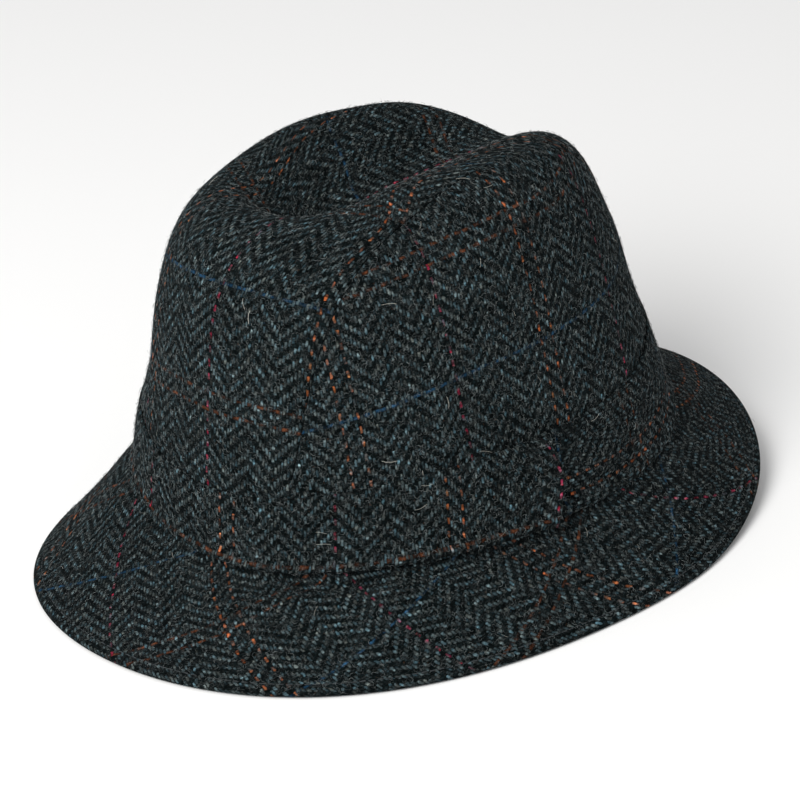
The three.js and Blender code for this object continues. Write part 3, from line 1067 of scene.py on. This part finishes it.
def looked_up(table, first, second, at_first, at_second):
    """Values of a table between its lines."""
    i = (at_first - first[0]) / (first[1] - first[0])
    j = (at_second - second[0]) / (second[1] - second[0])
    low_i = np.clip(np.floor(i).astype(int), 0, len(first) - 2)
    low_j = np.clip(np.floor(j).astype(int), 0, len(second) - 2)
    s, t = i - low_i, j - low_j
    near = table[low_i, low_j] * (1 - t) + table[low_i, low_j + 1] * t
    far = table[low_i + 1, low_j] * (1 - t) + table[low_i + 1, low_j + 1] * t
    return near * (1 - s) + far * s


def side_panel(form, hand, name):
    step = form.sizes.mesh_step
    span, height = SIDE_SPAN

    def seam_line(along):
        return form.crown(*form.seam(along, hand, SEAM_GAP))

    shares = even_shares(seam_line, round(span / step))
    seam_turn, seam_climb = form.seam(shares, hand, SEAM_GAP)
    foot_turn = seam_turn[0] + (seam_turn[-1] - seam_turn[0]) * shares
    up = stations(height, step)
    up = up / up[-1]
    turn = foot_turn[:, None] + (seam_turn - foot_turn)[:, None] * up
    climb = seam_climb[:, None] * up
    face, normal = form.crown_face(directions_of(turn, climb))
    rows = arc_lengths(face, 1)
    roll = edge_roll(rows[:, -1:] - rows, SEAM_ROLL)
    outer, inner = crown_wall(form, face, normal, roll)

    weave = SIDE_WEAVE
    turns, climbs, around, upwards = flank_lengths(form, hand)
    out = looked_up(around, turns, climbs, hand * turn, climb)
    rise = looked_up(upwards, turns, climbs, hand * turn, climb)
    u = weave["ease"] * out + weave["left_lead" if hand > 0 else "right_lead"]
    v = rise - weave["skew"] * out + weave["bow"] * out**2 - weave["start"]
    return cloth_wall(name, outer, inner, np.stack([u, v], -1) / YARN)


def band_strip(form):
    sizes = form.sizes
    span, height = BAND_SPAN
    outer_end = form.band_end_turn + FULL_TURN
    inner_end = form.band_end_turn - form.band_lap_turn
    ramp_end = inner_end + FULL_TURN
    places = stations(span, sizes.mesh_step) / span
    turn = inner_end + (outer_end - inner_end) * places
    lift = smooth_step(turn, ramp_end - form.band_ramp_turn, ramp_end) * (form.band_reach - BAND_THINNING)
    share = stations(height, BAND_CROSS_STEP)
    share = share / share[-1]
    under_lap = 1 - smooth_step(turn, *(form.band_end_turn + place for place in INNER_END_ZONE))
    climb = form.band_top_climb(turn, INNER_END_DROP * under_lap)[:, None] * share
    arch = np.sin(math.pi * share)
    bow = LAP_END_BOW * smooth_step(turn, outer_end - LAP_BOW_TURN, outer_end)[:, None] * arch**0.8
    face, normal = form.crown_face(directions_of(turn[:, None] + bow, climb))
    up = arc_lengths(face, 1)
    along = arc_lengths(face[:, :1], 0)[:, 0]
    from_top, from_end = up[:, -1:] - up, along[-1] - along
    roll = edge_roll(np.minimum(np.minimum(up, from_top), np.minimum(along, from_end)[:, None]), BAND_ROLL)

    share_up = up / up[:, -1:]
    shaded = form.shaded_side(turn)[:, None]
    wave = np.clip((soft_waves(face, *BAND_WAVES) + 1) * BAND_UNEVENNESS, 0, None)
    flare = BAND_FOOT_FLARE * shaded * (1 - smooth_step(share_up, *BAND_FOOT_ZONE))
    flare = flare + LAP_END_FLARE * smooth_step(along, along[-1] - LAP_END_REACH, along[-1])[:, None]
    base = sizes.gap + lift[:, None] + wave + flare
    past_lap = (turn[:, None] - form.band_end_turn - LAP_END_BOW * arch) / LAP_DIP_TURN
    thinning = BAND_THINNING * (1 + smooth_step(share_up, *BAND_TOP_ZONE))
    thinning = thinning + BAND_VALLEY * shaded * hill(share_up - BAND_VALLEY_SHARE, BAND_VALLEY_WIDTH)
    thinning = thinning + LAP_END_DIP * hill(past_lap - LAP_DIP_PLACE, 1)
    outer = face + normal * (base + sizes.band_wall - roll - thinning)[..., None]
    inner = face + normal * (base + roll * 0.2)[..., None]

    weave = BAND_WEAVE
    start = np.interp(math.radians(BAND_WEAVE_TURN), turn, along)
    gathered = weave["gather"] * smooth_step(along, along[-1] - weave["gather_reach"], along[-1])
    u = weave["ease"] * (along - start - weave["lead"]) + gathered
    turned_v = u - np.interp(math.radians(BAND_TURNED_TURN), turn, u)
    plain = np.stack(np.broadcast_arrays(u[:, None], up - weave["start"]), -1)
    turned = np.stack(np.broadcast_arrays(up + BAND_TURNED_START, turned_v[:, None]), -1)
    rear = turn < math.radians(BAND_SEAM_TURN)
    return cloth_wall("band_cloth", outer, inner, np.where(rear[:, None, None], turned, plain) / YARN)


def brim_ring(form, stitch_inset):
    """The brim's cloth, and a line of points with their facing along each row of stitches."""
    wall = form.sizes.brim_wall
    span, width = BRIM_SPAN
    count = round(span / form.sizes.mesh_step)
    turns = np.linspace(-math.pi, math.pi, count + 1)
    turn = turns[:, None]
    inwards = np.stack([-np.sin(turns), np.cos(turns), np.zeros_like(turns)], -1)[:, None]
    even = 1 - stations(width, form.sizes.mesh_step)[::-1] / width
    even = even[(even > SLOPE_EVEN_START) & (even < SLOPE_END)]
    slope_out = np.concatenate([SLOPE_START, even, [SLOPE_END]])

    def around(values):
        return np.broadcast_to(values, (count + 1, len(values)))

    def slope(values):
        """Points of the slope, the directions they face and how unevenly the cloth lies there."""
        out = around(values)
        face, normal = form.brim_face(turn + 0 * out, out)
        free = smooth_step(out, *BRIM_FREE_START) * (1 - smooth_step(out, *BRIM_FREE_END))
        return face, normal, soft_waves(face, *BRIM_WAVES) * BRIM_UNEVENNESS * free

    def dip(from_edge):
        return STITCH_DIP * hill(from_edge - stitch_inset, STITCH_DIP_WIDTH)

    roll = edge_roll(around(LAND_STATIONS), JOIN_ROLL)
    land = form.join_point(turn, around(LAND_STATIONS))
    under_land = land[:, ::-1].copy()
    land[..., 2] -= roll
    under_land[..., 2] -= wall - roll[:, ::-1]

    face, normal, wave = slope(slope_out)
    reach = arc_lengths(face, 1)
    from_edge = reach[:, -1:] - reach + SLOPE_END_INSET
    puff = hill(from_edge - EDGE_PUFF_PLACE, EDGE_PUFF_WIDTH) * EDGE_PUFF
    upper = face + normal * (wave - dip(from_edge) + puff)[..., None]

    end = upper[:, -1:]
    foot = form.brim_edge(turns)[:, None] + inwards * EDGE_FOOT_INSET
    foot[..., 2] += EDGE_FOOT_LIFT
    pull_up = end + unit(upper[:, -1:] - upper[:, -3:-2]) * EDGE_BEND_UP
    pull_down = foot - inwards * EDGE_BEND_DOWN
    t = np.linspace(0, 1, EDGE_LINES + 1)[1:, None]
    edge = end * (1 - t) ** 3 + pull_up * 3 * t * (1 - t) ** 2 + pull_down * 3 * t**2 * (1 - t) + foot * t**3

    under_out = slope_out[slope_out < UNDER_END][::-1]
    under_face, under_normal, under_wave = slope(under_out)
    under_edge = np.interp(around(under_out), slope_out, from_edge.mean(0))
    under = under_face + under_normal * (under_wave - wall + dip(under_edge))[..., None]
    under[..., 2] = np.maximum(under[..., 2], UNDER_LEAST_HEIGHT)

    section = np.concatenate([land, upper, edge, under, under_land], 1)
    first = len(LAND_STATIONS)
    weave = BRIM_WEAVE
    out = arc_lengths(np.concatenate([section, section[:, :1]], 1), 1)
    out = out - out[:, first : first + 1]
    along = arc_lengths(form.brim_slope(turns, np.full_like(turns, BRIM_MIDDLE)), 0)
    along = (along - np.interp(0, turns, along))[:, None]
    bow = weave["bow"] * np.sin(math.pi * (along + weave["bow_place"]) / weave["bow_reach"])
    u, v = (with_turn * along + with_out * out + bow for with_turn, with_out in BRIM_WEAVE_TURN)
    mark = np.zeros(section.shape[1], bool)
    mark[first : first + upper.shape[1] - 2] = True
    piece = cloth_ring("brim_cloth", section[:-1], np.stack([u + weave["lead"], v], -1) / YARN, mark)

    place = np.argmin(np.abs(from_edge[0] - stitch_inset))
    under_place = np.argmin(np.abs(under_edge[0] - stitch_inset))
    rows = ((upper[:, place], normal[:, place]), (under[:, under_place], -under_normal[:, under_place]))
    return piece, rows


class TRILBY_OT_crown(bpy.types.Operator):
    """Cut and shape the three panels of the crown"""

    bl_idname = "trilby.crown"
    bl_label = "Crown panels"

    def execute(self, context):
        form = HatForm(context.scene.trilby_sizes)
        centre = centre_panel(form)
        finish_cloth(centre, "crown_centre_panel")
        for side, hand in (("left", 1), ("right", -1)):
            piece = side_panel(form, hand, f"crown_{side}_cloth")
            finish_cloth(piece, f"crown_{side}_panel")
        return {"FINISHED"}


class TRILBY_OT_band(bpy.types.Operator):
    """Wrap the cloth band round the crown, with its outer end over its inner end"""

    bl_idname = "trilby.band"
    bl_label = "Band"

    def execute(self, context):
        band = band_strip(HatForm(context.scene.trilby_sizes))
        finish_cloth(band, "band")
        return {"FINISHED"}


class TRILBY_OT_brim(bpy.types.Operator):
    """Shape the two-layer brim and sew its edge"""

    bl_idname = "trilby.brim"
    bl_label = "Brim"

    def execute(self, context):
        cloth = context.scene.trilby_cloth
        brim, rows = brim_ring(HatForm(context.scene.trilby_sizes), cloth.stitch_inset)
        finish_cloth(brim, "brim")

        points = np.concatenate([line[:-1] for line, _ in rows])
        facing = np.concatenate([face[:-1] for _, face in rows])
        count = len(rows[0][0]) - 1
        edges = [(k + start, (k + 1) % count + start) for start in (0, count) for k in range(count)]
        mesh = bpy.data.meshes.new("stitch line")
        mesh.from_pydata(points.tolist(), edges, [])
        mesh.attributes.new("facing", "FLOAT_VECTOR", "POINT").data.foreach_set("vector", facing.ravel())
        thread = strand_material("sewing_thread", (0.012, 0.016, 0.018), (0.035, 0.042, 0.046), 900.0)
        values = {"Stitch length": cloth.stitch_length, "Material": thread}
        stitches = applied(new_object("stitch line", mesh), stitch_tree(), values, "brim_edge_stitches")
        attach(stitches, "root")
        return {"FINISHED"}


class TRILBY_OT_nap(bpy.types.Operator):
    """Raise the short fibres and the stray pale hairs of the wool on every piece of cloth"""

    bl_idname = "trilby.nap"
    bl_label = "Nap"

    def execute(self, context):
        cloth = context.scene.trilby_cloth
        tree = nap_tree()
        fibres = strand_material("wool_nap", (0.012, 0.018, 0.021), (0.26, 0.29, 0.29), 700.0)
        hairs = strand_material("pale_hair", (0.3, 0.3, 0.27), (0.8, 0.78, 0.7), 60.0)
        for seed, (name, slot) in enumerate(CLOTHS.items()):
            source = new_object("nap source", bpy.data.objects[name].data.copy())
            outward = np.zeros(len(source.data.polygons), bool)
            areas = np.zeros(len(source.data.polygons))
            source.data.attributes["outward"].data.foreach_get("value", outward)
            source.data.polygons.foreach_get("area", areas)
            area = float(areas[outward].sum())
            values = {
                "Fibres per square metre": cloth.nap_per_piece / area,
                "Hairs per square metre": cloth.hairs_per_piece / area,
                "Seed": 7 * seed + 3,
                "Fibre material": fibres,
                "Hair material": hairs,
            }
            nap = applied(source, tree, values, name.replace("_cloth", "_nap"))
            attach(nap, "root")
        return {"FINISHED"}


def area_light(name, place, target, size, power, colour):
    data = bpy.data.lights.new(name, "AREA")
    data.shape = "DISK"
    data.size = size
    data.energy = power
    data.color = colour
    light = new_object(name, data)
    light.location = place
    light.rotation_euler = (target - place).to_track_quat("-Z", "Y").to_euler()


class TRILBY_OT_stage(bpy.types.Operator):
    """Set the pale floor, the soft lights and the camera"""

    bl_idname = "trilby.stage"
    bl_label = "Studio"

    def execute(self, context):
        stage = context.scene.trilby_stage
        mesh = bpy.data.meshes.new("studio_floor")
        corners = [(x * FLOOR_HALF, y * FLOOR_HALF, 0) for x, y in ((-1, -1), (1, -1), (1, 1), (-1, 1))]
        mesh.from_pydata(corners, [], [(0, 1, 2, 3)])
        mesh.materials.append(plain_material("floor_paint", stage.floor_colour, 0.9))
        floor = new_object("studio_floor", mesh)
        floor.location.z = -FLOOR_DROP

        turn, rise = stage.azimuth, stage.elevation
        right = Vector((math.cos(turn), math.sin(turn), 0))
        back = Vector((math.sin(turn) * math.cos(rise), -math.cos(turn) * math.cos(rise), math.sin(rise)))
        up = back.cross(right)
        side = right * math.cos(stage.roll) + up * math.sin(stage.roll)
        top = up * math.cos(stage.roll) - right * math.sin(stage.roll)
        data = bpy.data.cameras.new("camera")
        data.lens = stage.lens
        data.shift_x, data.shift_y = CAMERA_SHIFT
        camera = new_object("camera", data)
        place = Matrix((side, top, back)).transposed().to_4x4()
        place.translation = Vector((0, 0, CAMERA_AIM)) + back * stage.distance
        camera.matrix_world = place
        context.scene.camera = camera

        powers = (stage.key_power, stage.fill_power)
        for (name, aside, height, distance, aim, size, tint), power in zip(LIGHTS, powers):
            angle = turn + math.radians(aside)
            level = math.cos(math.radians(height)) * distance
            high = math.sin(math.radians(height)) * distance
            place = Vector((level * math.sin(angle), -level * math.cos(angle), high))
            area_light(name, place, Vector((0, 0, aim)), size, power, tint)

        world = bpy.data.worlds.new("studio")
        world.use_nodes = True
        sky = world.node_tree.nodes["Background"]
        sky.inputs["Color"].default_value = (1, 1, 1, 1)
        sky.inputs["Strength"].default_value = stage.sky_strength
        context.scene.world = world
        context.scene.view_settings.view_transform = "Standard"
        return {"FINISHED"}


STEPS = (TRILBY_OT_crown, TRILBY_OT_band, TRILBY_OT_brim, TRILBY_OT_nap, TRILBY_OT_stage)


class TRILBY_PT_sidebar(bpy.types.Panel):
    """Steps and sizes of the trilby"""

    bl_label = "Trilby"
    bl_idname = "TRILBY_PT_sidebar"
    bl_space_type = "VIEW_3D"
    bl_region_type = "UI"
    bl_category = "Trilby"

    def draw(self, context):
        layout = self.layout
        for group in (context.scene.trilby_sizes, context.scene.trilby_cloth, context.scene.trilby_stage):
            box = layout.box()
            for name in group.bl_rna.properties.keys():
                if name not in {"rna_type", "name"}:
                    box.prop(group, name)
        for step in STEPS:
            layout.operator(step.bl_idname)


CLASSES = (TrilbySizes, TrilbyCloth, TrilbyStage, *STEPS, TRILBY_PT_sidebar)


def register():
    for item in CLASSES:
        bpy.utils.register_class(item)
    bpy.types.Scene.trilby_sizes = PointerProperty(type=TrilbySizes)
    bpy.types.Scene.trilby_cloth = PointerProperty(type=TrilbyCloth)
    bpy.types.Scene.trilby_stage = PointerProperty(type=TrilbyStage)


def unregister():
    for name in ("trilby_sizes", "trilby_cloth", "trilby_stage"):
        delattr(bpy.types.Scene, name)
    for item in reversed(CLASSES):
        bpy.utils.unregister_class(item)


def main():
    register()
    bpy.ops.trilby.crown()
    bpy.ops.trilby.band()
    bpy.ops.trilby.brim()
    bpy.ops.trilby.nap()
    bpy.ops.trilby.stage()


if __name__ == "__main__":
    main()
